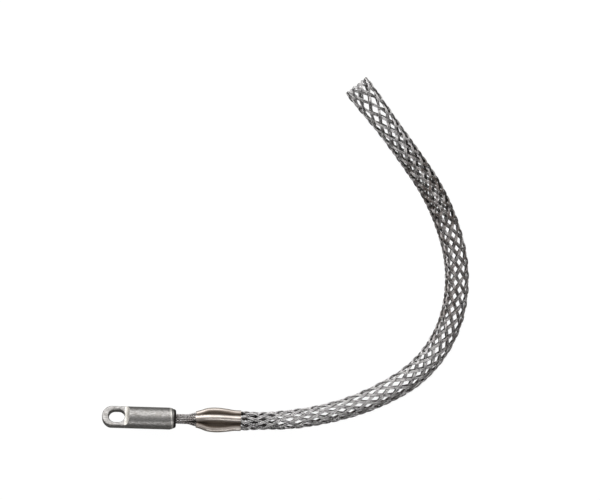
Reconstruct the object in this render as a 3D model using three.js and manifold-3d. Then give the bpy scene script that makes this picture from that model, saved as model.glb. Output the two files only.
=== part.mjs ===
// Wire mesh cable pulling grip with a rotating eye, lying on a flat surface.
// Millimetres, Z up. X runs along the barrel's axis, from the eye's tip towards the woven sleeve.
import * as THREE from 'three';
import { mergeVertices } from 'three/addons/utils/BufferGeometryUtils.js';
import Module from 'manifold-3d';

const wasm = await Module();
wasm.setup();

// Clearances
const seatGap = 0.3; // between pieces that bear on each other
const ropeGap = 0.3; // between neighbouring ropes
const boreFloat = 1.0; // end play behind the ferrule
const bundleClearance = 0.6; // round the rope bundle in the bush

// Eye fitting: flat tongue, slanted shoulder and hollow barrel, one forging
const barrelRadius = 11;
const barrelLength = 50.6;
const barrelWall = 3.7;
const tongueLength = 23.4;
const tongueThickness = 8;
const tongueEdgeRadius = 1.3;
const eyeHoleWidth = 13.2;
const eyeHoleEndWall = 6.8;
const eyeHoleRoot = 0.4; // from the hole's end to the foot of the shoulder
const shoulderRun = 4.4;
const shoulderBend = 0.8; // share of the run over which the shoulder stays low
const shoulderFoot = 1.5; // height of the shoulder's foot over the tongue
const eyeTurn = THREE.MathUtils.degToRad(-24); // how far the free eye has turned where it lies

// Rolled lip at the barrel's mouth
const lipBandLength = 2.6;
const lipBandDrop = 0.8;
const lipGroove = 0.3;
const lipNoseLength = 3.4;
const lipNoseDrop = 2.2;
const lipDepth = 2.2;
const lipOverhang = 0.8; // how far the lip holds the bush's flange

// Retaining bush and swaged ferrule inside the barrel
const bushLength = 8;
const bushRecess = 0.4;
const drillAngle = THREE.MathUtils.degToRad(31); // the cavity's drilled end, off square
const ferruleLength = 24;
const ferruleChamfer = 0.8;

// Wire ropes
const ropeRadius = 0.58;
const ropesPerTube = 8;
const ringRopes = [4, 12, 16]; // ropes in each ring of the round bundle, from the inside out

// Shoulder tubes
const tubeCount = 4;
const tubeRadius = 3.3;
const tubeWall = 0.75;
const tubeTurn = THREE.MathUtils.degToRad(13); // first tube's turn from straight up
const leadLength = 21.5; // bare ropes between barrel and tubes
const gatherLength = 9.5; // end of the lead, where the ropes part into the tubes
const gatherShares = [0.35, 0.7]; // where the parting ropes have their sections
// distance along the tubes and how far their centres stand off the axis
const tubeRun = [[0, 4.95], [5, 6.4], [10.5, 8.5], [18.5, 9.45], [30, 8.4], [38, 7.2], [43.5, 7.2]];

// Woven sleeve: one wall of crossing bands
const bandsEachWay = 4;
const weavePeriods = 16;
const closedRows = 3; // rows at the neck whose gaps are shut
const neckStretch = 1.3; // cells at the neck are this much longer than at the mouth
const bandShare = 0.2; // half a band's width as a share of the distance between bands
const wireRise = 0.7; // how far a band rises over and dips under
const ridgeHeight = 0.75;
const grooveHeight = 0.3;
const bandEdge = -0.35;
const wallInside = 1.3;
const rimLength = 3.2;
// length of each arc of the sleeve's centre line and how many degrees it turns
const sleeveArcs = [[24, 2.5], [76, 14.9], [64, 14.9], [96, 47.1], [64, 25.5], [80, 21.3], [110, 4]];
// distance along the sleeve and its outside radius there
const neckRadii = [[0, 10], [18, 9.1], [60, 10.1], [190, 12.4], [450, 12.1]];
const mouthRadius = 14.1;
const settleLength = 60; // stretch over which the sleeve comes down to the surface
const headingStep = 0.5; // over which the centre line's slope is taken

// Fineness of round shapes
const barrelSides = 48;
const tubeSides = 14;
const boreSides = 10;
const ropeSides = 6;
const edgeSteps = 3;
const shoulderSteps = 5;
const tongueEndSteps = 14;
const cutMargin = 0.1; // how far a cut reaches past the surface

// Sizes that follow
const eyeHoleLength = tongueLength - eyeHoleEndWall - eyeHoleRoot;
const cavityRadius = barrelRadius - barrelWall;
const barrelEnd = tongueLength + barrelLength;
const bushEnd = barrelEnd - bushRecess;
const bushStart = bushEnd - bushLength;
const flangeEnd = barrelEnd - lipDepth - seatGap;
const lipBore = cavityRadius - lipOverhang;
const ferruleRadius = cavityRadius - seatGap;
const ferruleEnd = bushStart - seatGap;
const ferruleStart = ferruleEnd - ferruleLength;
const cavityStart = ferruleStart - boreFloat;
const drillPoint = cavityRadius * Math.tan(drillAngle);

const ropePitch = 2 * ropeRadius + ropeGap;
const [innerRing, middleRing] = ringRopes.map(ropeRing);
const outerRing = middleRing + ropePitch;
const bundleRadius = outerRing + ropeRadius;
const tubeRing = ropeRing(ropesPerTube - 1);

const tubeStart = barrelEnd + leadLength;
const tubeLength = tubeRun[tubeRun.length - 1][0];
const tubeEnd = tubeStart + tubeLength;
const tubeSpread = Math.max(...tubeRun.map(([, offset]) => offset));
const restHeight = tubeSpread * Math.cos(tubeTurn) + tubeRadius;

const sleeveStart = tubeEnd + seatGap;
const sleeveLength = sleeveArcs.reduce((sum, [length]) => sum + length, 0);
const sleeveRadii = [...neckRadii, [sleeveLength, mouthRadius]];
const wallMiddle = ridgeHeight + wireRise;

// Radius of a ring of ropes that lie side by side.
function ropeRing(count) {
  return ropePitch / (2 * Math.sin(Math.PI / count));
}

// Geometry helpers

// Joins shared vertices, drops collapsed triangles and turns the faces outwards.
function closedGeometry(source) {
  const geometry = source.clone();
  geometry.deleteAttribute('normal');
  geometry.deleteAttribute('uv');
  const merged = mergeVertices(geometry, 1e-4);
  const position = merged.getAttribute('position');
  const index = [];
  const [a, b, c] = [new THREE.Vector3(), new THREE.Vector3(), new THREE.Vector3()];
  let volume = 0;
  for (let i = 0; i < merged.index.count; i += 3) {
    const corners = [0, 1, 2].map((k) => merged.index.getX(i + k));
    if (new Set(corners).size === 3) {
      index.push(...corners);
      a.fromBufferAttribute(position, corners[0]);
      b.fromBufferAttribute(position, corners[1]);
      c.fromBufferAttribute(position, corners[2]);
      volume += a.dot(b.cross(c));
    }
  }
  if (volume < 0) index.reverse();
  merged.setIndex(index);
  return merged;
}

function toSolid(geometry) {
  const closed = closedGeometry(geometry);
  return new wasm.Manifold(new wasm.Mesh({
    numProp: 3,
    vertProperties: new Float32Array(closed.getAttribute('position').array),
    triVerts: new Uint32Array(closed.index.array),
  }));
}

function toGeometry(solid) {
  const mesh = solid.getMesh();
  const geometry = new THREE.BufferGeometry();
  geometry.setAttribute('position', new THREE.BufferAttribute(Float32Array.from(mesh.vertProperties), 3));
  geometry.setIndex(Array.from(mesh.triVerts));
  return geometry;
}

// Turns a profile of [distance along X, radius] points about the X axis.
function turned(profile, sides) {
  const points = profile.map(([along, radius]) => new THREE.Vector2(radius, along));
  const geometry = new THREE.LatheGeometry(points, sides);
  geometry.rotateZ(-Math.PI / 2);
  return geometry;
}

// A turned ring, its profile closed on itself.
function turnedRing(profile, sides) {
  return turned([...profile, profile[0]], sides);
}

// Eases between the stations of a [distance, value] table.
function eased(table, distance) {
  const last = table.length - 1;
  if (distance >= table[last][0]) return table[last][1];
  let k = 0;
  while (k < last - 1 && distance > table[k + 1][0]) k += 1;
  const [from, valueFrom] = table[k];
  const [to, valueTo] = table[k + 1];
  return THREE.MathUtils.lerp(valueFrom, valueTo, THREE.MathUtils.smoothstep(distance, from, to));
}

// A path with its sections at its own points, so that a straight stretch takes one step.
class StationPath extends THREE.CatmullRomCurve3 {
  getUtoTmapping(u) {
    return u;
  }
}

function polygon(radius, sides) {
  return Array.from({ length: sides }, (_, k) => {
    const angle = (2 * Math.PI * k) / sides;
    return new THREE.Vector2(radius * Math.cos(angle), radius * Math.sin(angle));
  });
}

function swept(shape, points) {
  const path = new StationPath(points);
  return new THREE.ExtrudeGeometry(shape, {
    steps: points.length - 1,
    curveSegments: 1,
    extrudePath: path,
  });
}

// Eye fitting

function tongueShape() {
  const reach = tongueLength + shoulderRun;
  const shape = new THREE.Shape();
  shape.moveTo(reach, barrelRadius);
  shape.lineTo(barrelRadius, barrelRadius);
  shape.absarc(barrelRadius, 0, barrelRadius, Math.PI / 2, 1.5 * Math.PI, false);
  shape.lineTo(reach, -barrelRadius);
  shape.closePath();
  const holeRadius = eyeHoleWidth / 2;
  const holeStart = eyeHoleEndWall + holeRadius;
  const holeEnd = eyeHoleEndWall + eyeHoleLength - holeRadius;
  const hole = new THREE.Path();
  hole.moveTo(holeStart, holeRadius);
  hole.absarc(holeStart, 0, holeRadius, Math.PI / 2, 1.5 * Math.PI, false);
  hole.lineTo(holeEnd, -holeRadius);
  hole.absarc(holeEnd, 0, holeRadius, -Math.PI / 2, Math.PI / 2, false);
  hole.closePath();
  shape.holes.push(hole);
  return shape;
}

// The flat tongue with its rounded edges, as wide as the barrel it is milled from.
function tongueSolid() {
  const geometry = new THREE.ExtrudeGeometry(tongueShape(), {
    depth: tongueThickness - 2 * tongueEdgeRadius,
    bevelThickness: tongueEdgeRadius,
    bevelSize: tongueEdgeRadius,
    bevelOffset: -tongueEdgeRadius,
    bevelSegments: edgeSteps,
    curveSegments: tongueEndSteps,
  });
  geometry.translate(0, 0, tongueEdgeRadius - tongueThickness / 2);
  const bar = turned([[0, 0], [0, barrelRadius], [barrelEnd, barrelRadius], [barrelEnd, 0]], barrelSides);
  return toSolid(geometry).intersect(toSolid(bar));
}

// What the milling cutter takes off one side, with its curved run-out up the shoulder.
function millingCut(side) {
  const over = 2 * barrelRadius;
  const half = tongueThickness / 2;
  const rootEnd = tongueLength + shoulderRun;
  const bend = [tongueLength + shoulderBend * shoulderRun, side * (half + shoulderFoot)];
  const shape = new THREE.Shape();
  shape.moveTo(-cutMargin, side * half);
  shape.lineTo(tongueLength, side * half);
  shape.quadraticCurveTo(...bend, rootEnd, side * (barrelRadius + cutMargin));
  shape.lineTo(rootEnd, side * over);
  shape.lineTo(-cutMargin, side * over);
  shape.closePath();
  const geometry = new THREE.ExtrudeGeometry(shape, {
    depth: 2 * over,
    bevelEnabled: false,
    curveSegments: shoulderSteps,
  });
  geometry.translate(0, 0, -over);
  geometry.rotateX(Math.PI / 2);
  return toSolid(geometry);
}

function barrelProfile() {
  const bandStart = barrelEnd - lipNoseLength - lipBandLength;
  const bandEnd = barrelEnd - lipNoseLength;
  const noseRadius = barrelRadius - lipBandDrop - lipGroove;
  const profile = [[tongueLength, 0], [tongueLength, barrelRadius], [bandStart, barrelRadius]];
  profile.push([bandEnd, barrelRadius - lipBandDrop], [bandEnd, noseRadius]);
  for (let k = 1; k <= edgeSteps; k += 1) {
    const angle = (k / edgeSteps) * (Math.PI / 2);
    const drop = lipNoseDrop * (1 - Math.cos(angle));
    profile.push([bandEnd + lipNoseLength * Math.sin(angle), noseRadius - drop]);
  }
  profile.push([barrelEnd, lipBore], [barrelEnd - lipDepth, lipBore], [barrelEnd - lipDepth, cavityRadius]);
  profile.push([cavityStart, cavityRadius], [cavityStart - drillPoint, 0]);
  return profile;
}

function eyeBarrel() {
  const barrel = toSolid(turned(barrelProfile(), barrelSides));
  const shouldered = barrel.subtract(millingCut(1)).subtract(millingCut(-1));
  return toGeometry(shouldered.add(tongueSolid()));
}

// Inside the barrel

function retainingBush() {
  const bore = bundleRadius + bundleClearance;
  const flange = cavityRadius - seatGap;
  const nose = lipBore - seatGap;
  return turnedRing([
    [bushStart, bore], [bushStart, flange], [flangeEnd, flange],
    [flangeEnd, nose], [bushEnd, nose], [bushEnd, bore],
  ], barrelSides / 2);
}

function swagedFerrule() {
  const bore = bundleRadius + seatGap;
  return turnedRing([
    [ferruleStart, bore], [ferruleStart, ferruleRadius - ferruleChamfer],
    [ferruleStart + ferruleChamfer, ferruleRadius], [ferruleEnd, ferruleRadius], [ferruleEnd, bore],
  ], barrelSides / 2);
}

// Ropes and shoulder tubes

// A point at a distance from the barrel's axis, on the side where a tube runs, and off to that side's left.
function besideAxis(along, tube, outwards, sideways) {
  const turn = tubeTurn + (2 * Math.PI * tube) / tubeCount;
  const y = outwards * Math.sin(turn) + sideways * Math.cos(turn);
  const z = outwards * Math.cos(turn) - sideways * Math.sin(turn);
  return new THREE.Vector3(along, y, z);
}

function shoulderTube(tube) {
  const shape = new THREE.Shape(polygon(tubeRadius, tubeSides));
  shape.holes.push(new THREE.Path(polygon(tubeRadius - tubeWall, boreSides)));
  const points = tubeRun.map(([along, offset]) => besideAxis(tubeStart + along, tube, offset, 0));
  return swept(shape, points);
}

// Where each of one tube's ropes lies in the round bundle, and where it lies inside the tube.
function ropeSlots() {
  const polar = (radius, angle) => [radius * Math.cos(angle), radius * Math.sin(angle)];
  const [, middleStep, outerStep] = ringRopes.map((count) => (2 * Math.PI) / count);
  const tubeStep = (2 * Math.PI) / (ropesPerTube - 1);
  return [
    [polar(innerRing, 0), polar(tubeRing, Math.PI)],
    [polar(middleRing, -middleStep), polar(tubeRing, -2.5 * tubeStep)],
    [polar(middleRing, 0), [0, 0]],
    [polar(middleRing, middleStep), polar(tubeRing, 2.5 * tubeStep)],
    [polar(outerRing, -1.5 * outerStep), polar(tubeRing, -1.5 * tubeStep)],
    [polar(outerRing, -0.5 * outerStep), polar(tubeRing, -0.5 * tubeStep)],
    [polar(outerRing, 0.5 * outerStep), polar(tubeRing, 0.5 * tubeStep)],
    [polar(outerRing, 1.5 * outerStep), polar(tubeRing, 1.5 * tubeStep)],
  ];
}

function leadRope(tube, [inBundle, inTube]) {
  const partStart = tubeStart - gatherLength;
  const tubeOffset = tubeRun[0][1];
  const points = [ferruleStart, barrelEnd, partStart].map((along) => besideAxis(along, tube, ...inBundle));
  for (const share of gatherShares) {
    const ease = THREE.MathUtils.smoothstep(share, 0, 1);
    const outwards = THREE.MathUtils.lerp(inBundle[0], tubeOffset + inTube[0], ease);
    const sideways = THREE.MathUtils.lerp(inBundle[1], inTube[1], ease);
    points.push(besideAxis(partStart + share * gatherLength, tube, outwards, sideways));
  }
  for (const [along, offset] of tubeRun) {
    const stop = Math.min(along, tubeLength - seatGap);
    points.push(besideAxis(tubeStart + stop, tube, offset + inTube[0], inTube[1]));
  }
  return swept(new THREE.Shape(polygon(ropeRadius, ropeSides)), points);
}

// Woven sleeve

// A point of the sleeve's centre line: place, heading and height over the barrel's axis.
function centreLine(distance) {
  let [x, y, heading, left] = [sleeveStart, 0, 0, distance];
  const lastArc = sleeveArcs.length - 1;
  for (let k = 0; k <= lastArc; k += 1) {
    const [length, degrees] = sleeveArcs[k];
    const run = k === lastArc ? left : Math.min(left, length);
    const turn = (THREE.MathUtils.degToRad(degrees) * run) / length;
    const chord = run * (Math.abs(turn) < 1e-9 ? 1 : Math.sin(turn / 2) / (turn / 2));
    x += chord * Math.cos(heading + turn / 2);
    y += chord * Math.sin(heading + turn / 2);
    heading += turn;
    left -= run;
    if (left <= 0) break;
  }
  const settled = THREE.MathUtils.smoothstep(distance, 0, settleLength);
  const height = settled * (eased(sleeveRadii, distance) - restHeight);
  return { place: new THREE.Vector3(x, y, height), heading };
}

// Distance along the sleeve where a number of weave periods has gone by, with longer cells at the neck.
function weaveDistance(periods) {
  const share = periods / weavePeriods;
  const bend = (neckStretch - 1) / (neckStretch + 1);
  return sleeveLength * (share + bend * share * (1 - share));
}

// Lines across one band: offset from its middle and height over the wall's middle.
const bandLines = [
  [-bandShare, bandEdge],
  [-bandShare / 2, ridgeHeight],
  [0, grooveHeight],
  [bandShare / 2, ridgeHeight],
  [bandShare, bandEdge],
];

// Height of the outside at a crossing: the band that lies over covers the other.
function weaveHeight(i, j, lineA, lineB) {
  const over = (i + j) % 2 === 0 ? 1 : -1;
  const heightA = lineB[1] + over * wireRise * Math.cos(Math.PI * lineA[0]);
  const heightB = lineA[1] - over * wireRise * Math.cos(Math.PI * lineB[0]);
  return Math.max(heightA, heightB);
}

// The wall is woven straight, on a tube of this middle radius, and then bent along the centre line.
const straightRadius = 20;

// Bands of both hands cross on a grid: crossing (i, j) lies where band i of one hand meets band j of
// the other. Each step of i or j goes half a weave period along and half a band's spacing around.
function wovenTriangles() {
  const lines = bandLines.length;
  const around = 2 * lines * bandsEachWay;
  const vertices = [];
  const numbers = new Map();
  const triangles = [];
  const openSides = new Map();

  // The grid comes round on itself, so a vertex is known by its row and its wrapped place in the row.
  function vertex([lineA, lineB], outside) {
    const place = (((lineA - lineB) % around) + around) % around;
    const key = `${lineA + lineB} ${place} ${outside}`;
    if (!numbers.has(key)) {
      const i = Math.floor(lineA / lines);
      const j = Math.floor(lineB / lines);
      const acrossA = bandLines[lineA - i * lines];
      const acrossB = bandLines[lineB - j * lines];
      const [a, b] = [i + acrossA[0], j + acrossB[0]];
      const angle = (Math.PI * (a - b)) / bandsEachWay;
      const radius = straightRadius + (outside ? weaveHeight(i, j, acrossA, acrossB) : -wallInside);
      numbers.set(key, vertices.length / 3);
      vertices.push(weaveDistance((a + b) / 2), radius * Math.cos(angle), radius * Math.sin(angle));
    }
    return numbers.get(key);
  }

  // Notes a side of a patch. A side that two patches share needs no wall.
  function noteSide(chain) {
    const from = vertex(chain[0], false);
    const to = vertex(chain[chain.length - 1], false);
    const key = `${Math.min(from, to)} ${Math.max(from, to)}`;
    if (openSides.has(key)) {
      openSides.delete(key);
    } else {
      openSides.set(key, { from, to, outer: chain.map((point) => vertex(point, true)) });
    }
  }

  // A rectangle between two lines of each hand: every line shows outside, one face inside.
  function patch(fromA, toA, fromB, toB) {
    for (let a = fromA; a < toA; a += 1) {
      for (let b = fromB; b < toB; b += 1) {
        const corners = [[a, b], [a + 1, b], [a + 1, b + 1], [a, b + 1]].map((point) => vertex(point, true));
        triangles.push(corners[0], corners[1], corners[2], corners[0], corners[2], corners[3]);
      }
    }
    const innerCorners = [[fromA, fromB], [fromA, toB], [toA, toB], [toA, fromB]];
    const inner = innerCorners.map((point) => vertex(point, false));
    triangles.push(inner[0], inner[1], inner[2], inner[0], inner[2], inner[3]);
    const linesA = Array.from({ length: toA - fromA + 1 }, (_, k) => fromA + k);
    const linesB = Array.from({ length: toB - fromB + 1 }, (_, k) => fromB + k);
    noteSide(linesA.map((a) => [a, fromB]));
    noteSide(linesB.map((b) => [toA, b]));
    noteSide(linesA.map((a) => [toA + fromA - a, toB]));
    noteSide(linesB.map((b) => [fromA, toB + fromB - b]));
  }

  const lastRow = 2 * weavePeriods + 1;
  for (let row = -1; row <= lastRow; row += 1) {
    for (let i = 0; i < bandsEachWay; i += 1) {
      const a = i * lines;
      const b = (row - i) * lines;
      const [edgeA, edgeB] = [a + lines - 1, b + lines - 1];
      patch(a, edgeA, b, edgeB);
      if (row < lastRow) {
        patch(edgeA, edgeA + 1, b, edgeB);
        patch(a, edgeA, edgeB, edgeB + 1);
      }
      if (row + 1 < closedRows) patch(edgeA, edgeA + 1, edgeB, edgeB + 1);
    }
  }
  for (const { from, to, outer } of openSides.values()) {
    triangles.push(from, to, outer[outer.length - 1]);
    for (let k = outer.length - 1; k > 0; k -= 1) triangles.push(from, outer[k], outer[k - 1]);
  }
  return { vertices, triangles };
}

// The straight wall, cut square at both ends and closed by a rim at the mouth.
function straightSleeve() {
  const { vertices, triangles } = wovenTriangles();
  const geometry = new THREE.BufferGeometry();
  geometry.setAttribute('position', new THREE.Float32BufferAttribute(vertices, 3));
  geometry.setIndex(triangles);
  const reach = 2 * straightRadius;
  const bar = turned([[0, 0], [0, reach], [sleeveLength, reach], [sleeveLength, 0]], bandsEachWay * 2);
  const rimStart = sleeveLength - rimLength;
  const [rimInside, rimOutside] = [straightRadius - wallInside, straightRadius + ridgeHeight];
  const rim = turnedRing([
    [rimStart, rimInside], [rimStart, rimOutside], [sleeveLength, rimOutside], [sleeveLength, rimInside],
  ], bandsEachWay * bandLines.length);
  return toSolid(geometry).intersect(toSolid(bar)).add(toSolid(rim));
}

// Bends the straight wall along the centre line, at its real radius.
function wovenSleeve() {
  const geometry = toGeometry(straightSleeve());
  const position = geometry.getAttribute('position');
  for (let k = 0; k < position.count; k += 1) {
    const distance = position.getX(k);
    const [y, z] = [position.getY(k), position.getZ(k)];
    const { place, heading } = centreLine(distance);
    const behind = centreLine(distance - headingStep).place;
    const forward = centreLine(distance + headingStep).place.sub(behind).normalize();
    const left = new THREE.Vector3(-Math.sin(heading), Math.cos(heading), 0);
    const up = forward.cross(left);
    const straight = Math.hypot(y, z);
    const radius = eased(sleeveRadii, distance) - wallMiddle + straight - straightRadius;
    place.addScaledVector(left, (radius * y) / straight).addScaledVector(up, (radius * z) / straight);
    position.setXYZ(k, place.x, place.y, place.z);
  }
  return geometry;
}

// Assembly

const finishes = {
  forgedSteel: { color: 0x8f8c89, roughness: 0.42, metalness: 0.9 },
  bushSteel: { color: 0x5c5956, roughness: 0.5, metalness: 0.9 },
  tubeSteel: { color: 0xbdb8b2, roughness: 0.3, metalness: 0.9 },
  ropeWire: { color: 0x7b797a, roughness: 0.4, metalness: 0.9 },
};

function named(name, geometry, finish) {
  const piece = new THREE.Mesh(closedGeometry(geometry), new THREE.MeshStandardMaterial(finishes[finish]));
  piece.name = name;
  return piece;
}

const eye = named('eye_barrel', eyeBarrel(), 'forgedSteel');
eye.rotation.x = eyeTurn;

const grip = new THREE.Group();
grip.add(eye);
grip.add(named('retaining_bush', retainingBush(), 'bushSteel'));
grip.add(named('swaged_ferrule', swagedFerrule(), 'bushSteel'));
for (let tube = 0; tube < tubeCount; tube += 1) {
  grip.add(named(`shoulder_tube_${tube + 1}`, shoulderTube(tube), 'tubeSteel'));
  ropeSlots().forEach((slots, rope) => {
    grip.add(named(`lead_rope_${tube + 1}_${rope + 1}`, leadRope(tube, slots), 'ropeWire'));
  });
}
grip.add(named('woven_sleeve', wovenSleeve(), 'ropeWire'));

// The origin is under the middle of the whole, on the surface that it lies on.
grip.updateMatrixWorld(true);
const bounds = new THREE.Box3().setFromObject(grip, true);
const middle = bounds.getCenter(new THREE.Vector3());
grip.position.set(-middle.x, -middle.y, -bounds.min.z);

const part = new THREE.Group();
part.add(grip);

export default part;
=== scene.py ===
"""A wire mesh cable pulling grip with a rotating eye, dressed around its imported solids."""
import math

import bpy
import numpy as np
from mathutils import Matrix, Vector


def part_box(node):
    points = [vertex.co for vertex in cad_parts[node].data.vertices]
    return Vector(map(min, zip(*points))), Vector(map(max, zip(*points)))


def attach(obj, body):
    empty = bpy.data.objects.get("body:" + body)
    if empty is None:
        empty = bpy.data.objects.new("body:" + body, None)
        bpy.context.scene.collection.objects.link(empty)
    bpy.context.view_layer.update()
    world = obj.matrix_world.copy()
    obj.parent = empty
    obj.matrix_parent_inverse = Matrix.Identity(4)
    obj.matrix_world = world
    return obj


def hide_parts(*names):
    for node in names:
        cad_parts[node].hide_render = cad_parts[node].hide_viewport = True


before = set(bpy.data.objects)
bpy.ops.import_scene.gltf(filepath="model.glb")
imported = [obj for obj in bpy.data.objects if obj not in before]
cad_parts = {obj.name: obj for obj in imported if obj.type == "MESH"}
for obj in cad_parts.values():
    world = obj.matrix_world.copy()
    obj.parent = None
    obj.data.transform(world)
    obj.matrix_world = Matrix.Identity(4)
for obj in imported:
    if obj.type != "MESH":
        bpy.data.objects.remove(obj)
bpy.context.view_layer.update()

MM = 0.001

# Places taken from the solids, in millimetres. The origin is the eye's tip on the barrel's axis.
eye_low, eye_high = (np.array(corner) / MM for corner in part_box("eye_barrel"))
bush_low, bush_high = (np.array(corner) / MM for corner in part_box("retaining_bush"))
origin = np.array([eye_low[0], (bush_low[1] + bush_high[1]) / 2, (bush_low[2] + bush_high[2]) / 2])


def reach(node):
    """Where a node starts and ends along the barrel's axis."""
    low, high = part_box(node)
    return low.x / MM - origin[0], high.x / MM - origin[0]


barrel_end = reach("eye_barrel")[1]
bush_start, bush_end = reach("retaining_bush")
ferrule_start = reach("swaged_ferrule")[0]
tube_start, tube_end = reach("shoulder_tube_1")
barrel_radius = (eye_high[1] - eye_low[1]) / 2
flange_radius = (bush_high[1] - bush_low[1]) / 2

# Eye and barrel
seat_gap = 0.3
tongue_length = 23.4
tongue_thickness = 8.0
tongue_edge = 1.3
hole_length = 16.2
hole_width = 13.2
hole_end_wall = 6.8
shoulder_run = 4.4
shoulder_bend = 0.8  # share of the run over which the shoulder stays low
shoulder_bulge = 1.5
eye_turn = math.radians(-24)  # how far the free eye has turned where it lies
barrel_wall = 3.7
lip_band = 2.6
lip_band_drop = 0.8
lip_step = 0.4
lip_groove = 0.1
lip_highlight_slant = 0.12  # how far the painted highlight on the bevel leans, for each millimetre across the barrel
lip_nose = 3.4
lip_nose_drop = 2.2
lip_depth = 2.2
lip_overhang = 0.8
lip_highlight_end = 0.4  # from the end of the painted highlight on the bevel back to where it begins to fade
lip_shade_run = 2.4  # stretch of the nose over which the painted shade grows to full
milled_highlight_foot = 1.2  # how far the milled finish and its painted highlight reach down onto the tongue
milled_highlight_fade = 0.5  # stretch over which it ends at the barrel
milled_highlight_under = (0.25, 0.05)  # how far under the barrel's surface it is full and where it ends
drill_angle = math.radians(31)
float_behind = 1.0
drill_tip = 0.1  # radius at which the drilled end is closed
cut_margin = 0.1  # how far a cut reaches past the surface
trued_margin = 0.3  # how far the trued round stays away from the edges beside it
forging_grain = 0.3  # the eye's surface is remade at this fineness, which softens its edges

# Retaining bush
bush_bore = 5.46
flange_end = barrel_end - lip_depth - seat_gap
bush_edge = 0.25

# Shoulder tubes
# a little wider and further round than the solids, so that no white shows between them
tube_count = 4
tube_radius = 3.4
tube_wall = 0.85
tube_turn = math.radians(16.5)
tube_rim = 0.3
tube_step = 0.8  # between the rings of a tube
tube_end_run = 1.0  # from a tube's ends to the first of them
tube_brown_shade = (-0.45, 0.35)  # how far a side faces the other tubes where its painted shade begins and is full
# distance along a tube and how far its centre line is off the barrel's axis there
tube_run = [(0, 4.95), (5, 6.4), (10.5, 8.4), (18.5, 9.3), (30, 8.4), (38, 7.2), (43.5, 7.1)]
gather_length = 9.5

# Ropes: places in the round bundle and inside a tube, as (radius, degrees)
bundle_rings = (1.03, 2.82, 4.28)
tube_ring = 1.68
rope_slots = [
    ((bundle_rings[0], 0), (tube_ring, 180)),
    ((bundle_rings[1], -30), (tube_ring, -900 / 7)),
    ((bundle_rings[1], 0), (0, 0)),
    ((bundle_rings[1], 30), (tube_ring, 900 / 7)),
    ((bundle_rings[2], -33.75), (tube_ring, -540 / 7)),
    ((bundle_rings[2], -11.25), (tube_ring, -180 / 7)),
    ((bundle_rings[2], 11.25), (tube_ring, 180 / 7)),
    ((bundle_rings[2], 33.75), (tube_ring, 540 / 7)),
]
rope_crown = 0.67  # radius over a rope's strands
rope_groove = 0.52  # radius in the grooves between them
rope_strands = 6
rope_lay = 10.0  # length in which a strand winds once round its rope
ring_step = 1.25
path_step = 0.8  # between the points of a rope's path before the weave
rope_lit_facing = 0.8  # how steeply a strand has to face outwards to escape the painted shade
mouth_highlight_run = 22  # stretch before the mouth over which a painted highlight spreads all round the ropes
mouth_highlight = 0.7  # how bright that painted highlight makes them at the mouth

# Woven sleeve
sleeve_start = tube_end + seat_gap
# length of each arc of the centre line and how far it turns, in degrees
sleeve_arcs = [(24, 2.5), (76, 14.9), (64, 14.9), (96, 47.1), (64, 25.5), (80, 21.3), (110, 4)]
# distance along the sleeve and its outer radius there
sleeve_radii = [(0, 10), (18, 9.1), (60, 10.1), (190, 12.4), (450, 12.1), (514, 14.1)]
sleeve_length = sum(length for length, _ in sleeve_arcs)
settle_length = 60
strands_each_way = 8
weave_periods = 33
# distance along the sleeve and the length of a cell of the weave there
cell_lengths = [
    (0, 17.5), (80, 17.9), (150, 17.2), (200, 14.6), (225, 15.2), (262, 13.6), (345, 13.6), (410, 15.1),
    (514, 16.1),
]
# distance along the sleeve and how far it is twisted there, in degrees
sleeve_twist = [
    (14, 11), (46, 0), (80, 1.5), (165, 1.5), (192, 2.5), (232, 1.8), (335, 2), (378, 11), (430, 13),
    (465, 17), (490, 22), (514, 31),
]
# distance along the sleeve and how far its ropes are darkened brown and dull there: darker on the ropes
# before the sleeve, and painted shade on the stretch where the sleeve's ropes catch less light
sleeve_brown_shade = [
    (-45, 0.7), (-4, 0), (205, 0), (240, 0.8), (330, 0.8), (360, 1), (405, 1), (440, 0.1), (514, 0),
]
# distance along the sleeve and how far its cells are drawn towards the outer side of the bend, in degrees
cell_shift = [(60, 0), (154, 9), (188, 14), (242, -7), (335, -7), (390, 0)]
# distance along the sleeve and how far the cells at its sides have crept towards its top, in degrees
cell_lean = [(46, 0), (80, -3.4), (150, -3.4), (200, 0), (240, 2), (335, 2), (370, 0)]
pair_offset = 0.68  # from the middle of a strand to each of its two ropes
weave_step = 0.6  # between the points of a rope's path in the weave
join_gap = 0.5  # from the end of a rope's path in its tube to the first point in the weave
levelling = (0.45, 0.2)  # cells before the loops between which the ropes come level
weave_rise = 0.74  # from the middle of the wall to a rope that lies over or under
weave_sharpness = 1.45  # how flat a strand lies across a crossing
wall_half = weave_rise + rope_crown
loop_radius = 1.8
spread_length = 2.5  # stretch over which the ropes spread from the tubes into the weave
wander = 0.2  # how far strands stray from the even weave


# Shapes

def smooth(value, start, end):
    share = np.clip((np.asarray(value, float) - start) / (end - start), 0.0, 1.0)
    return share * share * (3.0 - 2.0 * share)


def eased(stations, distance):
    """Eases between the stations of a (distance, value) table."""
    value = np.full(np.shape(distance), float(stations[0][1]))
    for (start, low), (end, high) in zip(stations, stations[1:]):
        value = value + (high - low) * smooth(distance, start, end)
    return value


def flowing(stations, distance):
    """A smooth line through the stations of a (distance, value) table."""
    at, value = np.array(stations, float).T
    slope = np.gradient(value, at)
    k = np.clip(np.searchsorted(at, distance) - 1, 0, len(at) - 2)
    step = at[k + 1] - at[k]
    share = np.clip((distance - at[k]) / step, 0.0, 1.0)
    rise = share * share * (3.0 - 2.0 * share)
    lean = slope[k] * (1.0 - share) - slope[k + 1] * share
    return value[k] * (1.0 - rise) + value[k + 1] * rise + share * (1.0 - share) * step * lean


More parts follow.
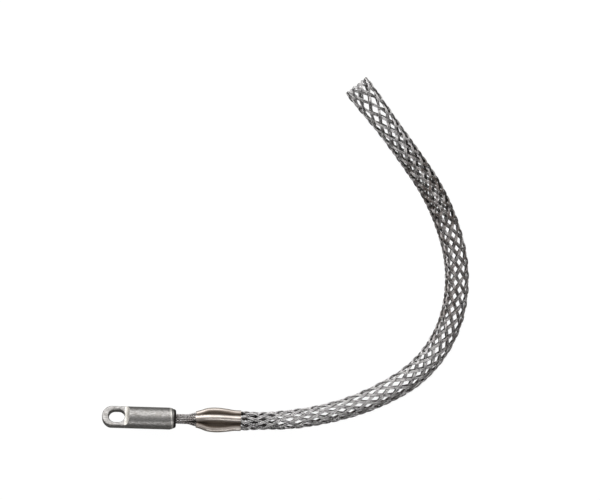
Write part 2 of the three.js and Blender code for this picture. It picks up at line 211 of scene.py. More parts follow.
def skin(rings, joined=False):
    """Vertices and faces over rings of points: the last ring joins the first, or both ends are capped."""
    count, sides = rings.shape[:2]
    ring = np.arange(count if joined else count - 1)[:, None]
    side = np.arange(sides)[None, :]
    after, beside = (ring + 1) % count, (side + 1) % sides
    corners = [ring * sides + side, ring * sides + beside, after * sides + beside, after * sides + side]
    faces = np.stack(np.broadcast_arrays(*corners), axis=-1).reshape(-1, 4).tolist()
    if not joined:
        faces.append(list(range(sides))[::-1])
        faces.append([(count - 1) * sides + k for k in range(sides)])
    return rings.reshape(-1, 3), faces


def piece(name, vertices, faces):
    """A smooth-shaded mesh object from points in millimetres on the barrel's axis."""
    mesh = bpy.data.meshes.new(name)
    mesh.from_pydata(((vertices + origin) * MM).tolist(), [], faces)
    mesh.shade_smooth()
    made = bpy.data.objects.new(name, mesh)
    bpy.context.scene.collection.objects.link(made)
    return made


def mark(mesh, name, values):
    """Notes a value of 0 to 1 at each point, which a material reads."""
    mesh.attributes.new(name, "FLOAT", "POINT").data.foreach_set("value", np.ravel(values).astype(np.float32))


def turned_rings(profile, sides):
    """Rings about the barrel's axis for a profile of (distance along, radius) points."""
    along, radius = np.array(profile, float).T
    angle = np.arange(sides) * 2 * math.pi / sides
    x = np.broadcast_to(along[:, None], (len(along), sides))
    return np.stack([x, radius[:, None] * np.cos(angle), radius[:, None] * np.sin(angle)], axis=-1)


def rounded_corner(corner, before, after, size, steps=4):
    """Points of a rounded corner between the points before and after it."""
    corner, before, after = (np.array(point, float) for point in (corner, before, after))
    start = corner + size * (before - corner) / np.linalg.norm(before - corner)
    end = corner + size * (after - corner) / np.linalg.norm(after - corner)
    share = np.linspace(0, 1, steps + 1)[:, None]
    return (start * (1 - share) ** 2 + 2 * corner * share * (1 - share) + end * share**2).tolist()


def rounded(profile, size):
    """A closed profile with all its corners rounded."""
    points = []
    for k, corner in enumerate(profile):
        points += rounded_corner(corner, profile[k - 1], profile[(k + 1) % len(profile)], size)
    return points


# Materials

def colour(hex_value):
    """A linear colour from an sRGB hex value."""
    channels = [(hex_value >> shift & 255) / 255 for shift in (16, 8, 0)]
    return [c / 12.92 if c <= 0.04045 else ((c + 0.055) / 1.055) ** 2.4 for c in channels] + [1.0]


def add(tree, kind, sockets=(), **settings):
    """Adds a node. A socket takes a number, a colour or the output of another node."""
    node = tree.nodes.new(kind)
    for name, value in settings.items():
        setattr(node, name, value)
    for name, value in dict(sockets).items():
        if isinstance(value, bpy.types.NodeSocket):
            tree.links.new(value, node.inputs[name])
        else:
            node.inputs[name].default_value = value
    return node


def blank(name):
    """An empty material, and its node tree."""
    material = bpy.data.materials.new(name)
    material.use_nodes = True
    material.node_tree.nodes.clear()
    return material, material.node_tree


def between(tree, share, low, high):
    """A value between two, by a share of 0 to 1."""
    return add(tree, "ShaderNodeMapRange", {"Value": share, "To Min": low, "To Max": high}).outputs[0]


def mixed(tree, share, first, second):
    """A colour between two, by a share of 0 to 1."""
    node = add(tree, "ShaderNodeMix", {0: share, 6: first, 7: second}, data_type="RGBA")
    return node.outputs[2]


def grain(tree, size, detail=3.0, stretch=(1, 1, 1)):
    """Noise whose blotches are about this many millimetres across, longer along a stretched axis."""
    place = add(tree, "ShaderNodeTexCoord").outputs["Object"]
    scale = [1 / (size * MM * s) for s in stretch]
    scaled = add(tree, "ShaderNodeMapping", {"Vector": place, "Scale": scale})
    settings = {"Vector": scaled.outputs[0], "Scale": 1.0, "Detail": detail, "Roughness": 0.55}
    return add(tree, "ShaderNodeTexNoise", settings).outputs[0]


def noted(tree, name):
    """A value that the mesh notes at its points."""
    return add(tree, "ShaderNodeAttribute", attribute_name=name).outputs["Fac"]


def contrast(tree, share, low, high):
    """Stretches the part of a share between low and high over 0 to 1."""
    sockets = {"Value": share, "From Min": low, "From Max": high}
    return add(tree, "ShaderNodeMapRange", sockets).outputs[0]


def metal(tree, base, roughness, height=None, depth=0.1, bare=1.0):
    """The metal, as far as it is bare, with a height of 0 to 1 and a depth in millimetres as bump."""
    sockets = {"Base Color": base, "Roughness": roughness, "Metallic": bare}
    if height is not None:
        bump = add(tree, "ShaderNodeBump", {"Height": height, "Strength": 0.7, "Distance": depth * MM})
        sockets["Normal"] = bump.outputs[0]
    shader = add(tree, "ShaderNodeBsdfPrincipled", sockets)
    add(tree, "ShaderNodeOutputMaterial", {"Surface": shader.outputs[0]})


def galvanised_wire():
    """Drawn wire, hot-dip zinc coated and laid into rope: pale on the crowns that face out, with painted
    shade in its grooves and on its inner side, and painted brown shade on stretches of it.
    """
    material, tree = blank("galvanised_wire")
    lit_crowns = noted(tree, "lit_crowns")
    brown_shade = noted(tree, "brown_shade")
    spangle = contrast(tree, grain(tree, 5.0), 0.35, 0.65)
    zinc = mixed(tree, spangle, colour(0xDDDBDC), colour(0xF7F5F4))
    patches = contrast(tree, grain(tree, 9.0, detail=3.0), 0.28, 0.6)
    # painted shade: where a rope is marked for it, random patches darken the zinc to brown
    brown_patches = add(tree, "ShaderNodeMath", {0: brown_shade, 1: patches}, operation="MULTIPLY").outputs[0]
    shaded_zinc = mixed(tree, brown_patches, zinc, colour(0x7C7069))
    # painted shade: the grooves, and crowns that don't face out, take this dark grey instead of zinc
    base = mixed(tree, contrast(tree, lit_crowns, 0.0, 0.6), colour(0x5E5A58), shaded_zinc)
    roughness = between(tree, spangle, 0.24, 0.40)
    # single wires, 0.16 mm in the rope, are drawn twice as coarse so that they show
    lay = add(tree, "ShaderNodeUVMap", uv_map="lay").outputs[0]
    twisted = {"Vector": lay, "Scale": 1.0, "Distortion": 0.4}
    wires = add(tree, "ShaderNodeTexWave", twisted, bands_direction="DIAGONAL")
    metal(tree, base, roughness, wires.outputs["Fac"], depth=0.05)
    return material


def satin_forging():
    """Drop-forged carbon steel, tumbled and zinc plated: satin, mottled by the scale under the plating."""
    material, tree = blank("satin_forging")
    mottle = contrast(tree, grain(tree, 0.9, detail=6.0, stretch=(3.0, 1, 1)), 0.36, 0.66)
    plated = mixed(tree, mottle, colour(0x7A7876), colour(0xA09E9C))
    stain = contrast(tree, grain(tree, 7.0, detail=4.0), 0.56, 0.72)
    stained = mixed(tree, between(tree, stain, 0.0, 0.35), plated, colour(0x6B6358))
    # the cutter left the shoulder matt, painted highlights make the shoulder pale with ridges and put a
    # slanted band on the lip's bevel, and painted shade darkens the lip's nose
    ridges = grain(tree, 0.35, detail=2.0, stretch=(1, 8, 1))
    # painted highlight: the milled shoulder turns pale, in ridges
    ridged_highlight = mixed(tree, ridges, colour(0xA9A6A1), colour(0xECE9E3))
    milled_and_highlight = mixed(tree, noted(tree, "milled_and_highlight"), stained, ridged_highlight)
    # painted highlight: a slanted pale band across the lip's bevel
    bevel_highlight = mixed(tree, noted(tree, "bevel_highlight"), milled_and_highlight, colour(0xE0DDD8))
    # painted shade: the lip's nose turns near black
    base = mixed(tree, noted(tree, "nose_shade"), bevel_highlight, colour(0x3A3633))
    satin = between(tree, mottle, 0.52, 0.42)
    matt = add(tree, "ShaderNodeMath", {0: noted(tree, "milled_and_highlight"), 1: 0.15}, operation="MULTIPLY").outputs[0]
    roughness = add(tree, "ShaderNodeMath", {0: satin, 1: matt}, operation="ADD").outputs[0]
    pits = grain(tree, 0.7, detail=4.0, stretch=(2.5, 1, 1))
    metal(tree, base, roughness, pits, depth=0.05)
    return material


def drawn_tube():
    """Cold-drawn tube, swaged and polished: pale and smooth, with fine draw lines along it."""
    material, tree = blank("drawn_tube")
    lines = grain(tree, 0.35, detail=3.0, stretch=(60, 1, 1))
    haze = contrast(tree, grain(tree, 6.0, detail=3.0, stretch=(2, 1, 1)), 0.35, 0.7)
    bright = mixed(tree, haze, colour(0xD4CCC5), colour(0xBAB0A8))
    drawn = mixed(tree, between(tree, lines, 0.0, 0.35), bright, colour(0x8B8178))
    # painted shade on the sides facing the other tubes: brown, duller and not metallic
    brown_shade = noted(tree, "brown_shade")
    base = mixed(tree, brown_shade, drawn, colour(0x5E5145))
    polish = between(tree, haze, 0.36, 0.48)
    matt = add(tree, "ShaderNodeMath", {0: brown_shade, 1: 0.3}, operation="MULTIPLY").outputs[0]
    roughness = add(tree, "ShaderNodeMath", {0: polish, 1: matt}, operation="ADD").outputs[0]
    bare = between(tree, brown_shade, 1.0, 0.1)
    metal(tree, base, roughness, lines, depth=0.006, bare=bare)
    return material


def machined_steel():
    """Turned free-cutting steel, oiled black: dark, with fine turning rings round its axis."""
    material, tree = blank("machined_steel")
    rings = grain(tree, 0.3, detail=1.0, stretch=(1, 40, 40))
    smudge = contrast(tree, grain(tree, 3.0), 0.35, 0.7)
    base = mixed(tree, smudge, colour(0x55514E), colour(0x7A7571))
    metal(tree, base, between(tree, smudge, 0.34, 0.5), rings, depth=0.02)
    return material


# Eye and barrel, one forging

def eye_outline(inset, corners=64):
    """The tongue's outline and, point for point, that of its hole, both moved into the metal."""
    angle = np.linspace(math.pi / 2, 1.5 * math.pi, corners)
    half = barrel_radius - inset
    left = np.stack([barrel_radius + half * np.cos(angle), half * np.sin(angle)], axis=-1)
    end = tongue_length + shoulder_run - inset
    right = np.stack([np.full(corners, end), np.linspace(-half, half, corners)], axis=-1)
    outer = np.concatenate([left, right])
    hole = hole_width / 2 + inset
    hole_start = hole_end_wall + hole_width / 2
    hole_end = hole_end_wall + hole_length - hole_width / 2
    near = np.stack([hole_start + hole * np.cos(angle), hole * np.sin(angle)], axis=-1)
    far = np.stack([hole_end - hole * np.cos(angle), -hole * np.sin(angle)], axis=-1)
    return outer, np.concatenate([near, far])


def tongue():
    """The flat tongue with rounded edges round its outline and its hole."""
    rings = []
    steps = np.linspace(0, math.pi / 2, 6)
    flat = tongue_thickness / 2 - tongue_edge
    levels = [(tongue_edge * (1 - math.cos(a)), -flat - tongue_edge * math.sin(a)) for a in steps[::-1]]
    levels += [(tongue_edge * (1 - math.cos(a)), flat + tongue_edge * math.sin(a)) for a in steps]
    for which in (0, 1):
        for inset, height in levels if which == 0 else levels[::-1]:
            outline = eye_outline(inset)[which]
            rings.append(np.column_stack([outline, np.full(len(outline), height)]))
    rings = np.array(rings)
    # the tongue is cut from the same round as the barrel, so its sides are round
    off_axis = np.hypot(rings[..., 1], rings[..., 2])
    rings[..., 1:] *= np.minimum(1.0, barrel_radius / np.maximum(off_axis, 0.01))[..., None]
    return piece("tongue_blank", *skin(rings, joined=True))


def barrel():
    """The hollow barrel with its rolled lip."""
    band_start = barrel_end - lip_nose - lip_band
    band_end = barrel_end - lip_nose
    nose = barrel_radius - lip_band_drop - lip_step
    cavity = barrel_radius - barrel_wall
    cavity_start = ferrule_start - float_behind
    profile = [(tongue_length, barrel_radius), (band_start, barrel_radius)]
    profile += [(band_end, barrel_radius - lip_band_drop), (band_end + lip_groove, nose)]
    for angle in np.linspace(0, math.pi / 2, 8)[1:]:
        profile.append((band_end + lip_nose * math.sin(angle), nose - lip_nose_drop * (1 - math.cos(angle))))
    profile += [(barrel_end, cavity - lip_overhang), (barrel_end - lip_depth, cavity - lip_overhang)]
    profile += [(barrel_end - lip_depth, cavity), (cavity_start, cavity)]
    profile.append((cavity_start - (cavity - drill_tip) * math.tan(drill_angle), drill_tip))
    return piece("barrel_blank", *skin(turned_rings(profile, 128)[::-1]))


def milling_cut(side):
    """What the cutter takes off one side of the forging, with its curved run-out up the shoulder."""
    half = tongue_thickness / 2
    root = tongue_length + shoulder_run
    share = np.linspace(0, 1, 12)[:, None]
    start, lift, end = (
        np.array([tongue_length, half]),
        np.array([tongue_length + shoulder_bend * shoulder_run, half + shoulder_bulge]),
        np.array([root, barrel_radius + cut_margin]),
    )
    run_out = start * (1 - share) ** 2 + 2 * lift * share * (1 - share) + end * share**2
    clear = 2 * barrel_radius
    before_tip = -1
    outline = np.concatenate([[[before_tip, half]], run_out, [[root, clear], [before_tip, clear]]])
    outline[:, 1] *= side
    along, height = outline.T
    rings = [np.column_stack([along, np.full(len(along), y), height]) for y in (clear * side, -clear * side)]
    return piece("milling_cut", *skin(np.array(rings)))


def combine(body, tool, operation):
    """Cuts or joins one blank with another, which is used up."""
    modifier = body.modifiers.new("combine", "BOOLEAN")
    modifier.operation = operation
    modifier.object = tool
    modifier.solver = "EXACT"
    settle(body)
    bpy.data.objects.remove(tool)


def settle(body):
    """Makes an object's modifiers part of its mesh."""
    evaluated = body.evaluated_get(bpy.context.evaluated_depsgraph_get())
    mesh = bpy.data.meshes.new_from_object(evaluated)
    body.modifiers.clear()
    body.data = mesh


def forged_eye():
    eye = barrel()
    combine(eye, milling_cut(1), "DIFFERENCE")
    combine(eye, milling_cut(-1), "DIFFERENCE")
    combine(eye, tongue(), "UNION")
    remesh = eye.modifiers.new("remesh", "REMESH")
    remesh.mode = "VOXEL"
    remesh.voxel_size = forging_grain * MM
    soften = eye.modifiers.new("soften", "SMOOTH")
    soften.factor = 0.5
    soften.iterations = 2
    settle(eye)
    true_up(eye.data)
    eye.name = "forged_eye"
    centre = Matrix.Translation(origin * MM)
    eye.data.transform(centre @ Matrix.Rotation(eye_turn, 4, "X") @ centre.inverted())
    eye.data.shade_smooth()
    return eye


def true_up(mesh):
    """Makes the barrel's outside truly round, and notes where the forging was milled and where its painted
    highlights and painted shade lie.
    """
    place = np.empty(3 * len(mesh.vertices), np.float32)
    mesh.vertices.foreach_get("co", place)
    x, y, z = (place.reshape(-1, 3) / MM - origin).T
    off_axis = np.hypot(y, z)
    root = tongue_length + shoulder_run
    band_end = barrel_end - lip_nose
    along_barrel = (x > root + trued_margin) & (x < band_end - lip_band - trued_margin)
    turned = along_barrel & (off_axis > barrel_radius - trued_margin)
    scale = np.where(turned, barrel_radius / off_axis, 1.0)
    round_place = np.stack([x, y * scale, z * scale], axis=-1) + origin
    mesh.vertices.foreach_set("co", (round_place * MM).astype(np.float32).ravel())
    inside = 1 - smooth(off_axis, barrel_radius - milled_highlight_under[0], barrel_radius - milled_highlight_under[1])
    past_foot = smooth(x, tongue_length - milled_highlight_foot, tongue_length)
    # milled, and painted pale as a highlight, from the shoulder's foot up to the barrel
    mark(mesh, "milled_and_highlight", past_foot * (1 - smooth(x, root, root + milled_highlight_fade)) * inside)
    # a slanted painted highlight on the lip's bevel
    slanted = x + lip_highlight_slant * y
    bevel_lit = smooth(slanted, band_end - lip_band, band_end - lip_band / 2)
    mark(mesh, "bevel_highlight", bevel_lit * (1 - smooth(slanted, band_end - lip_highlight_end, band_end)))
    # painted shade on the lip's nose
    mark(mesh, "nose_shade", smooth(x, band_end, band_end + lip_shade_run))


# Inside the barrel

def machined_bush():
    nose = barrel_radius - barrel_wall - lip_overhang - seat_gap
    profile = [(bush_start, bush_bore), (bush_end, bush_bore), (bush_end, nose)]
    profile += [(flange_end, nose), (flange_end, flange_radius), (bush_start, flange_radius)]
    return piece("machined_bush", *skin(turned_rings(rounded(profile, bush_edge), 96)[::-1], joined=True))


# Shoulder tubes

def beside_axis(along, tube, outwards, sideways):
    """A point off the barrel's axis, on the side where a tube runs."""
    turn = tube_turn + 2 * math.pi * tube / tube_count
    y = outwards * math.sin(turn) + sideways * math.cos(turn)
    z = outwards * math.cos(turn) - sideways * math.sin(turn)
    return np.stack(np.broadcast_arrays(along, y, z), axis=-1)


def swaged_tube(tube, sides=40):
    """One bowed tube: its wall's section, closed on itself, carried along its centre line."""
    length = tube_end - tube_start
    inside = tube_radius - tube_wall
    section = rounded([(0, inside), (0, tube_radius), (length, tube_radius), (length, inside)], tube_rim)
    along = [(s, tube_radius) for s in np.arange(tube_end_run, length - tube_end_run, tube_step)]
    inner = [(s, inside) for s in np.arange(length - tube_end_run, tube_end_run, -tube_step)]
    # corner points come five at a time, so the long runs go in after the second and the fourth corner
    section = section[:10] + along + section[10:] + inner
    distance, radius = np.array(section, float).T
    offset = flowing(tube_run, distance)
    lean = np.arctan((flowing(tube_run, distance + 0.1) - flowing(tube_run, distance - 0.1)) / 0.2)
    angle = np.arange(sides) * 2 * math.pi / sides
    outwards = radius[:, None] * np.cos(angle)
    sideways = radius[:, None] * np.sin(angle)
    x = tube_start + distance[:, None] - outwards * np.sin(lean)[:, None]
    rings = beside_axis(x, tube, offset[:, None] + outwards * np.cos(lean)[:, None], sideways)
    made = piece(f"swaged_tube_{tube + 1}", *skin(rings, joined=True))
    # painted shade, brown, dull and not metallic, on the sides that face the other tubes
    mark(made.data, "brown_shade", np.broadcast_to(smooth(-np.cos(angle), *tube_brown_shade), rings.shape[:2]))
    return made


# Ropes

def centre_line(distance):
    """The sleeve's centre line: its points, and its left and up directions there."""
    x = sleeve_start + np.minimum(distance, 0.0)
    y = np.zeros_like(x)
    heading = np.zeros_like(x)
    start = 0.0
    for length, degrees in sleeve_arcs:
        run = np.clip(distance - start, 0.0, length)
        turn = math.radians(degrees) * run / length
        chord = run * np.sinc(turn / 2 / math.pi)
        x = x + chord * np.cos(heading + turn / 2)
        y = y + chord * np.sin(heading + turn / 2)
        heading = heading + turn
        start += length
    level = np.zeros_like(x)
    slope = sleeve_height(distance + 0.5) - sleeve_height(distance - 0.5)
    forward = np.stack([np.cos(heading), np.sin(heading), slope], axis=-1)
    forward /= np.linalg.norm(forward, axis=-1, keepdims=True)
    left = np.stack([-np.sin(heading), np.cos(heading), level], axis=-1)
    place = np.stack([x, y, sleeve_height(distance)], axis=-1)
    return place, left, np.cross(forward, left)


def sleeve_height(distance):
    """How far the sleeve's centre line lies over the barrel's axis as it settles onto the surface."""
    rest_height = max(offset for _, offset in tube_run) * math.cos(tube_turn) + tube_radius
    return smooth(distance, 0, settle_length) * (eased(sleeve_radii, distance) - rest_height)


# The weave is counted back from its loops at the mouth
mouth_radius = sleeve_radii[-1][1] - wall_half
mouth_lean = math.atan(2 * math.pi / strands_each_way * mouth_radius / cell_lengths[-1][1])
weave_end = sleeve_length + loop_radius / math.sin(mouth_lean) - loop_radius - pair_offset - rope_crown


def weave_count(distance):
    """How many cells of the weave have gone by at each of some rising distances along the sleeve."""
    fine = np.linspace(0, weave_end, 4000)
    steps = fine[1] / eased(cell_lengths, fine)
    gone = np.concatenate([[0], np.cumsum((steps[1:] + steps[:-1]) / 2)])
    return weave_periods - gone[-1] + np.interp(distance, fine, gone)


def strand_path(hand, number, side, stray):
    """One rope of a strand: distance along the sleeve, angle round it, height off the wall's middle."""
    loop_start = weave_end - loop_radius / math.tan(mouth_lean) * math.cos(mouth_lean)
    distance = np.arange(0, loop_start, weave_step)
    periods = weave_count(distance)
    step = 2 * math.pi / strands_each_way
    angle = hand * step * (periods - number) + np.radians(eased(sleeve_twist, distance))
    # a positive shift makes cells wide on the inside of the bend and narrow on its outside
    shift, tilt = np.radians(eased(cell_shift, distance)), np.radians(eased(cell_lean, distance))
    angle += shift * np.sin(angle) + tilt * np.cos(angle)
    radius = eased(sleeve_radii, distance) - wall_half
    lean = np.arctan(radius * step * np.gradient(periods, distance))
    # the outer rope of a pair lies on the side that its strand comes from
    offset = -hand * side * pair_offset + stray(distance)
    around = angle + offset * np.cos(lean) / radius
    along = distance - hand * offset * np.sin(lean)
    wave = np.clip(weave_sharpness * np.cos(2 * math.pi * periods), -1, 1)
    fade = 1 - smooth(periods, weave_periods - levelling[0], weave_periods - levelling[1])
    return along, around, -hand * weave_rise * wave * fade


def loop_path(number, side):
    """The turn at the mouth, from a strand of one hand into one of the other."""
    middle = 2 * math.pi / strands_each_way * (number - weave_periods) + math.radians(sleeve_twist[-1][1])
    bend = np.linspace(math.pi / 2 - mouth_lean, mouth_lean - math.pi / 2, 24)[1:-1]
    radius = loop_radius + side * pair_offset
    along = weave_end - loop_radius / math.sin(mouth_lean) + radius * np.cos(bend)
    return along, middle + radius * np.sin(bend) / mouth_radius, np.zeros_like(bend)


def lead_path(tube, slot):
    """One rope end up to the end of its tube: distance from the sleeve's start and place off the axis."""
    (bundle_radius, bundle_angle), (slot_radius, slot_angle) = rope_slots[slot]
    x = np.arange(ferrule_start, tube_end, path_step)
    part = smooth(x, tube_start - gather_length, tube_start)
    offset = flowing(tube_run, np.maximum(x - tube_start, 0.0))
    bundle_angle, slot_angle = math.radians(bundle_angle), math.radians(slot_angle)
    outwards = bundle_radius * math.cos(bundle_angle) * (1 - part)
    outwards += (offset + slot_radius * math.cos(slot_angle)) * part
    sideways = bundle_radius * math.sin(bundle_angle) * (1 - part)
    sideways += slot_radius * math.sin(slot_angle) * part
    return x - sleeve_start, beside_axis(x, tube, outwards, sideways)[:, 1:]


def rope_half(hand, number, side, tube, slot, stray):
    """Half a rope, ferrule to mouth: distance from the sleeve's start and place off its centre line."""
    lead_distance, lead_place = lead_path(tube, slot)
    along, around, height = strand_path(hand, number, side, stray)
    radius = eased(sleeve_radii, along) - wall_half + height
    woven = np.stack([radius * np.cos(around), radius * np.sin(around)], axis=-1)
    spread = smooth(along, 0, spread_length)[:, None]
    woven = lead_place[-1] * (1 - spread) + woven * spread
    shown = along > join_gap
    distance = np.concatenate([lead_distance, along[shown]])
    return distance, np.concatenate([lead_place, woven[shown]])


def set_in_place(distance, across):
    """Points of a rope beside the sleeve's centre line, and their directions away from it."""
    place, left, up = centre_line(distance)
    away = left * across[:, :1] + up * across[:, 1:]
    return place + away, away


def even(points, *others):
    """The same line, and what goes with it, at each ring of the rope."""
    gone = np.concatenate([[0.0], np.cumsum(np.linalg.norm(np.diff(points, axis=0), axis=1))])
    at = np.linspace(0, gone[-1], round(gone[-1] / ring_step))
    lines = [[np.interp(at, gone, column) for column in line.T] for line in (points, *others)]
    return at, *(np.stack(line, axis=-1) for line in lines)


def laid_rope(name, distance, points, away):
    """A rope of strands wound round each other, along a line of points."""
    gone, points, away, distance = even(points, away, distance[:, None])
    for _ in range(2):
        points[1:-1] = points[1:-1] / 2 + (points[:-2] + points[2:]) / 4
    ahead = np.gradient(points, axis=0)
    ahead /= np.linalg.norm(ahead, axis=1, keepdims=True)
    side = np.cross(away, ahead)
    side /= np.linalg.norm(side, axis=1, keepdims=True)
    up = np.cross(ahead, side)
    sides = 2 * rope_strands
    crown = np.arange(sides) % 2 == 0
    radius = np.where(crown, rope_crown, rope_groove)
    angle = 2 * math.pi * (np.arange(sides)[None, :] / sides + gone[:, None] / rope_lay)
    out = radius * np.cos(angle), radius * np.sin(angle)
    rings = points[:, None] + out[0][..., None] * side[:, None] + out[1][..., None] * up[:, None]
    made = piece(name, *skin(rings))
    # strand crowns that face outwards keep their zinc colour, near the mouth a painted highlight keeps them
    # so all round, and elsewhere painted shade darkens them
    outside = smooth(np.sin(angle), 0.0, rope_lit_facing)
    all_round = mouth_highlight * smooth(distance, sleeve_length - mouth_highlight_run, sleeve_length)
    mark(made.data, "lit_crowns", crown * np.maximum(outside, all_round))
    mark(made.data, "brown_shade", np.broadcast_to(eased(sleeve_brown_shade, distance), angle.shape))
    mark_lay(made.data, gone, sides)
    return made


def mark_lay(mesh, gone, sides):
    """Notes each corner's place along and round the rope."""
    ring = np.arange(len(gone) - 1)[:, None]
    side = np.arange(sides)[None, :]
    wire = 0.32  # twice a wire's real thickness, in millimetres
    round_step = 0.9  # of the pattern, from one side of the rope to the next
    run = gone / wire / 2
    corners = [(run[ring], side), (run[ring], side + 1), (run[ring + 1], side + 1), (run[ring + 1], side)]
    lay = [np.stack(np.broadcast_arrays(u, v * round_step), axis=-1) for u, v in corners]
    values = np.concatenate([np.stack(lay, axis=2).reshape(-1), np.zeros(4 * sides)])
    mesh.uv_layers.new(name="lay").data.foreach_set("uv", values.astype(np.float32))


def stray_line(seed):
    """A slow sideways drift along a strand, the same for both its ropes."""
    chance = np.random.default_rng(seed)
    waves = []
    for _ in range(4):
        waves.append((chance.uniform(25, 90), chance.uniform(0, 2 * math.pi), chance.uniform(0.3, 1.0)))

    def stray(distance):
        total = sum(size * np.sin(2 * math.pi * distance / length + start) for length, start, size in waves)
        # the tubes and the loops hold the strands, so they don't drift there
        ends = smooth(distance, 5, 30) * (1 - smooth(distance, sleeve_length - 30, sleeve_length - 12))
        return wander * total / 2 * ends

    return stray


# Each tube feeds two strands of each hand. The slots of the two ropes of a strand, outer rope first,
# by hand and by which of the tube's two strands it is.
strand_slots = {(-1, 0): (4, 5), (1, 0): (1, 0), (-1, 1): (7, 6), (1, 1): (3, 2)}


def strand_source(hand, number, outer):
    """The tube and the slot in it that a rope of a strand comes from."""
    if hand < 0:
        tube, which = divmod((2 - number) % strands_each_way, 2)
    else:
        tube, which = divmod((number + 2) % strands_each_way, 2)
    return tube, strand_slots[hand, which][0 if outer else 1]


def mesh_ropes(material):
    """The 16 ropes, each from the ferrule through one tube to the mouth and back through another."""
    for number in range(strands_each_way):
        partner = (2 * weave_periods - number) % strands_each_way
        for outer in (True, False):
            side = 1 if outer else -1
            distance, across, nodes = [], [], []
            for hand, strand in ((-1, number), (1, partner)):
                tube, slot = strand_source(hand, strand, outer)
                half = rope_half(hand, strand, side, tube, slot, stray_line(100 + hand * 10 + strand))
                distance.append(half[0])
                across.append(half[1])
                nodes.append(f"lead_rope_{tube + 1}_{slot + 1}")
            along, around, height = loop_path(number, side)
            radius = mouth_radius + height
            turn = np.stack([radius * np.cos(around), radius * np.sin(around)], axis=-1)
            whole = np.concatenate([distance[0], along, distance[1][::-1]])
            points, away = set_in_place(whole, np.concatenate([across[0], turn, across[1][::-1]]))
            rope = laid_rope(f"mesh_rope_{2 * number + (1 if outer else 2)}", whole, points, away)
            rope.data.materials.append(material)
            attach(rope, "grip")
            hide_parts("woven_sleeve", *nodes)


def dress_eye():
    eye = forged_eye()
    eye.data.materials.clear()
    eye.data.materials.append(satin_forging())
    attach(eye, "eye")
    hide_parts("eye_barrel")


def dress_bush(material):
    bush = machined_bush()
    bush.data.materials.append(material)
    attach(bush, "eye")
    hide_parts("retaining_bush")


def dress_tubes():
    finish = drawn_tube()
    for number in range(tube_count):
        tube = swaged_tube(number)
        tube.data.materials.append(finish)
        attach(tube, "grip")
        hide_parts(f"shoulder_tube_{number + 1}")


def dress_ferrule(material):
    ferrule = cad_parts["swaged_ferrule"]
    ferrule.data.materials.clear()
    ferrule.data.materials.append(material)


# Studio

def floor():
    """A matt white table top."""
    size = 12.0
    corners = np.array([(-size, -size, 0), (size, -size, 0), (size, size, 0), (-size, size, 0)])
    mesh = bpy.data.meshes.new("table_top")
    mesh.from_pydata(corners.tolist(), [], [(0, 1, 2, 3)])
    top = bpy.data.objects.new("table_top", mesh)
    bpy.context.scene.collection.objects.link(top)
    material, tree = blank("matt_white_laminate")
    laminate = add(tree, "ShaderNodeBsdfPrincipled", {"Base Color": colour(0x6C6C6A), "Roughness": 0.9})
    # seen directly it is lit to white and keeps a part of the object's shadow, mirrored it glows a little
    rays = add(tree, "ShaderNodeLightPath").outputs
    direct = add(tree, "ShaderNodeMath", {0: rays["Is Camera Ray"], 1: 0.72}, operation="MULTIPLY").outputs[0]
    others = {0: rays["Is Glossy Ray"], 1: rays["Is Transmission Ray"]}
    bounced = add(tree, "ShaderNodeMath", others, operation="ADD").outputs[0]
    bounced = add(tree, "ShaderNodeMath", {0: bounced, 1: 0.06}, operation="MULTIPLY").outputs[0]
    share = add(tree, "ShaderNodeMath", {0: direct, 1: bounced}, operation="ADD", use_clamp=True)
    glow = add(tree, "ShaderNodeEmission", {"Color": colour(0xFFFFFF), "Strength": 1.36})
    both = add(tree, "ShaderNodeMixShader", {0: share.outputs[0], 1: laminate.outputs[0], 2: glow.outputs[0]})
    add(tree, "ShaderNodeOutputMaterial", {"Surface": both.outputs[0]})
    mesh.materials.append(material)


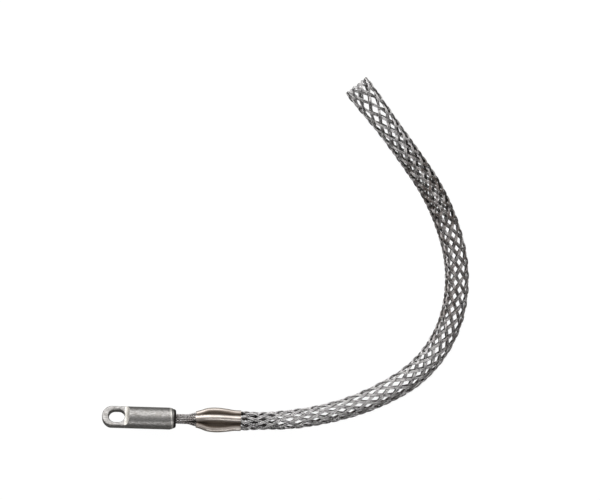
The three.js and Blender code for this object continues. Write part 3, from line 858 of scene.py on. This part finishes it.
def camera():
    """Straight above the object, with one millimetre to the pixel."""
    distance = 5.0
    picture_width = 0.6
    roll = math.radians(1.7)
    # pixels of the photograph, counted from its upper left corner
    picture_middle = (300, 250)
    eye_tip = (102, 416.6)
    right_of_tip, above_tip = picture_middle[0] - eye_tip[0], eye_tip[1] - picture_middle[1]
    target = (origin + [
        right_of_tip * math.cos(roll) - above_tip * math.sin(roll),
        right_of_tip * math.sin(roll) + above_tip * math.cos(roll),
        0,
    ]) * MM
    right = np.array([math.cos(roll), math.sin(roll), 0])
    back = np.array([0, 0, 1])
    up = np.cross(back, right)
    data = bpy.data.cameras.new("camera")
    data.sensor_width = 36
    data.lens = data.sensor_width * distance / picture_width
    made = bpy.data.objects.new("camera", data)
    bpy.context.scene.collection.objects.link(made)
    matrix = np.eye(4)
    matrix[:3, 0], matrix[:3, 1], matrix[:3, 2], matrix[:3, 3] = right, up, back, target + back * distance
    made.matrix_world = Matrix(matrix.tolist())
    bpy.context.scene.camera = made


def softbox(name, place, size, power):
    """A rectangular lamp aimed at the middle of the object."""
    data = bpy.data.lights.new(name, "AREA")
    data.shape = "RECTANGLE"
    data.size, data.size_y = size
    data.energy = power
    lamp = bpy.data.objects.new(name, data)
    bpy.context.scene.collection.objects.link(lamp)
    lamp.location = place
    lamp.rotation_mode = "QUATERNION"
    lamp.rotation_quaternion = (-lamp.location).to_track_quat("-Z", "Y")


def lights():
    world = bpy.data.worlds.new("studio")
    bpy.context.scene.world = world
    world.use_nodes = True
    tree = world.node_tree
    tree.nodes.clear()
    # a big pale screen stands behind and to the left, and the rest of the room is dim
    direction = add(tree, "ShaderNodeTexCoord").outputs["Generated"]
    towards_screen = (-0.35, 0.85, 0.4)
    facing = add(tree, "ShaderNodeVectorMath", {0: direction, 1: towards_screen}, operation="DOT_PRODUCT")
    screen = contrast(tree, facing.outputs["Value"], -0.15, 0.9)
    shade = mixed(tree, screen, colour(0x1C1C1E), colour(0xF4F4F4))
    sky = add(tree, "ShaderNodeBackground", {"Color": shade, "Strength": 1.1})
    add(tree, "ShaderNodeOutputWorld", {"Surface": sky.outputs[0]})
    softbox("key", (-0.3, 1.85, 1.45), (3.0, 2.2), 44)
    softbox("side", (-1.7, 1.2, 0.75), (1.4, 1.3), 20)
    softbox("strip", (0.2, -1.3, 0.98), (1.6, 0.14), 8)


bpy.context.scene.view_settings.view_transform = "Standard"
camera()
lights()
floor()
dress_eye()
turned_steel = machined_steel()
dress_bush(turned_steel)
dress_ferrule(turned_steel)
dress_tubes()
mesh_ropes(galvanised_wire())

bpy.context.view_layer.update()
